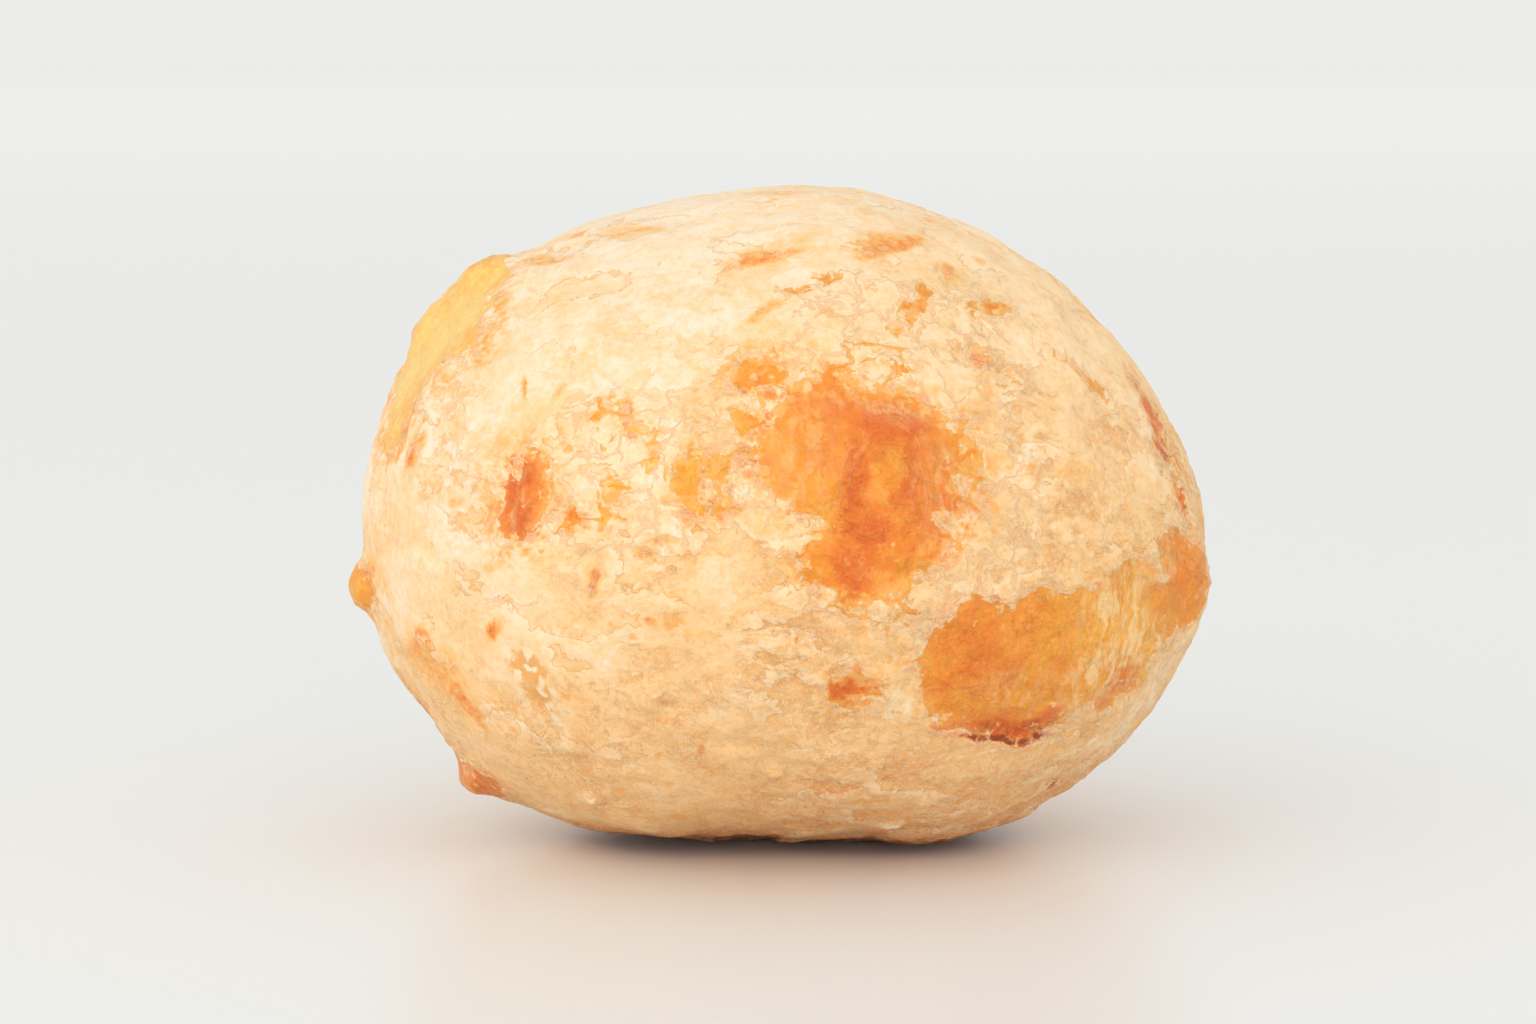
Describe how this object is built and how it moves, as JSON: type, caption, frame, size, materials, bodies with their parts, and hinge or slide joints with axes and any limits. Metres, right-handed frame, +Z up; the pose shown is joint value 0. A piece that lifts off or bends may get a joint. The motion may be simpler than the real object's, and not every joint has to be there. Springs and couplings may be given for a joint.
{
  "type": "cheese bread roll",
  "caption": "Round cheese bread roll with a pale, flaking crust torn open over amber baked cheese, resting on a small flat foot.",
  "frame": {"origin": "middle of the underside of the roll's bounding box, on the surface it rests on", "axes": "+Z up, +X along the roll's longest way across, -Y towards the side with the large torn patch of baked cheese"},
  "size_m": [0.0578, 0.0536, 0.0444],
  "materials": {
    "crust": "matte, floury crust with satin patches of baked cheese"
  },
  "bodies": {
    "root": {"bread_roll": "crust"}
  },
  "joints": []
}
